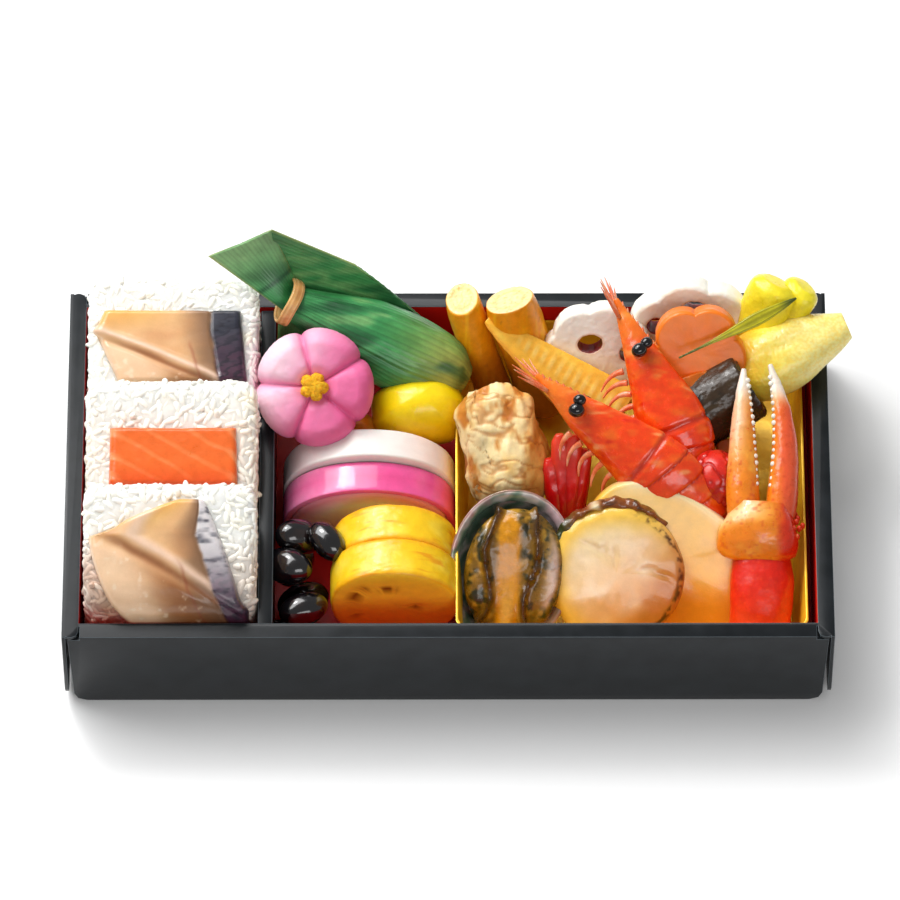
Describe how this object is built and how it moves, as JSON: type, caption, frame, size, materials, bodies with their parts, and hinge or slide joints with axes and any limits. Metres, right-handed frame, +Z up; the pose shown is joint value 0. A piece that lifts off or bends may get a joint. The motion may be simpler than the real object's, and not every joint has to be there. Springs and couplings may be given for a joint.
{
  "type": "bento box meal",
  "caption": "Festive bento in a black folded tray: pressed sushi, fishcake, rolled egg, black beans, shrimps, crab claw, abalone and scallop.",
  "frame": {"origin": "centre of the tray's underside", "axes": "+X along the long side to the eater's right, +Y away from the eater, +Z up out of the tray"},
  "size_m": [0.2478, 0.129, 0.0768],
  "materials": {
    "board": "gloss black coating outside, red inside",
    "gold_foil": "gold foil, satin",
    "rice": "soft matt",
    "mackerel": "soft matt",
    "salmon": "wet sheen",
    "bamboo_leaf": "soft matt",
    "leaf_tie": "soft matt",
    "pink_sweet": "soft matt",
    "yolk_paste": "soft matt",
    "white_fishcake": "soft matt",
    "pink_fishcake": "wet sheen",
    "rolled_egg": "soft matt",
    "black_bean": "wet sheen",
    "chestnut": "wet sheen",
    "simmered": "soft matt",
    "burdock": "soft matt",
    "bamboo_shoot": "soft matt",
    "fried_curd": "soft matt",
    "red_pickle": "wet sheen",
    "shrimp": "wet sheen",
    "carrot": "soft matt",
    "lotus_root": "soft matt",
    "herring_roe": "soft matt",
    "yellow_roe": "soft matt",
    "green_blade": "soft matt",
    "kelp": "wet sheen",
    "plum": "wet sheen",
    "crab": "wet sheen",
    "crab_arm": "wet sheen",
    "abalone_shell": "soft matt",
    "abalone": "wet sheen",
    "scallop": "wet sheen",
    "scallop_frill": "soft matt",
    "fish_slice": "soft matt"
  },
  "bodies": {
    "root": {"tray": "board", "divider": "board", "gold_liner": "gold_foil", "rice_front": "rice", "rice_middle": "rice", "rice_back": "rice", "mackerel_front": "mackerel", "salmon": "salmon", "mackerel_back": "mackerel", "leaf_parcel": "bamboo_leaf", "leaf_tie": "leaf_tie", "plum_blossom_sweet": "pink_sweet", "sweet_centre": "yolk_paste", "fishcake_behind": "white_fishcake", "fishcake_front": "white_fishcake", "fishcake_skin": "pink_fishcake", "rolled_egg_front": "rolled_egg", "rolled_egg_rear": "rolled_egg", "black_bean_1": "black_bean", "black_bean_2": "black_bean", "black_bean_3": "black_bean", "black_bean_4": "black_bean", "black_bean_5": "black_bean", "black_bean_6": "black_bean", "black_bean_7": "black_bean", "black_bean_8": "black_bean", "chestnut": "chestnut", "simmered_root": "simmered", "burdock_1": "burdock", "burdock_2": "burdock", "bamboo_shoot": "bamboo_shoot", "fried_curd_roll": "fried_curd", "red_pickle": "red_pickle", "shrimp_front": "shrimp", "shrimp_back": "shrimp", "carrot": "carrot", "lotus_1": "lotus_root", "lotus_2": "lotus_root", "herring_roe": "herring_roe", "yellow_roe": "yellow_roe", "green_blade": "green_blade", "kelp_roll": "kelp", "simmered_cube": "simmered", "simmered_strip": "simmered", "red_plum": "plum", "crab_claw": "crab", "crab_arm": "crab_arm", "abalone_shell": "abalone_shell", "abalone_meat": "abalone", "scallop": "scallop", "scallop_frill": "scallop_frill", "fish_slice": "fish_slice"}
  },
  "joints": []
}
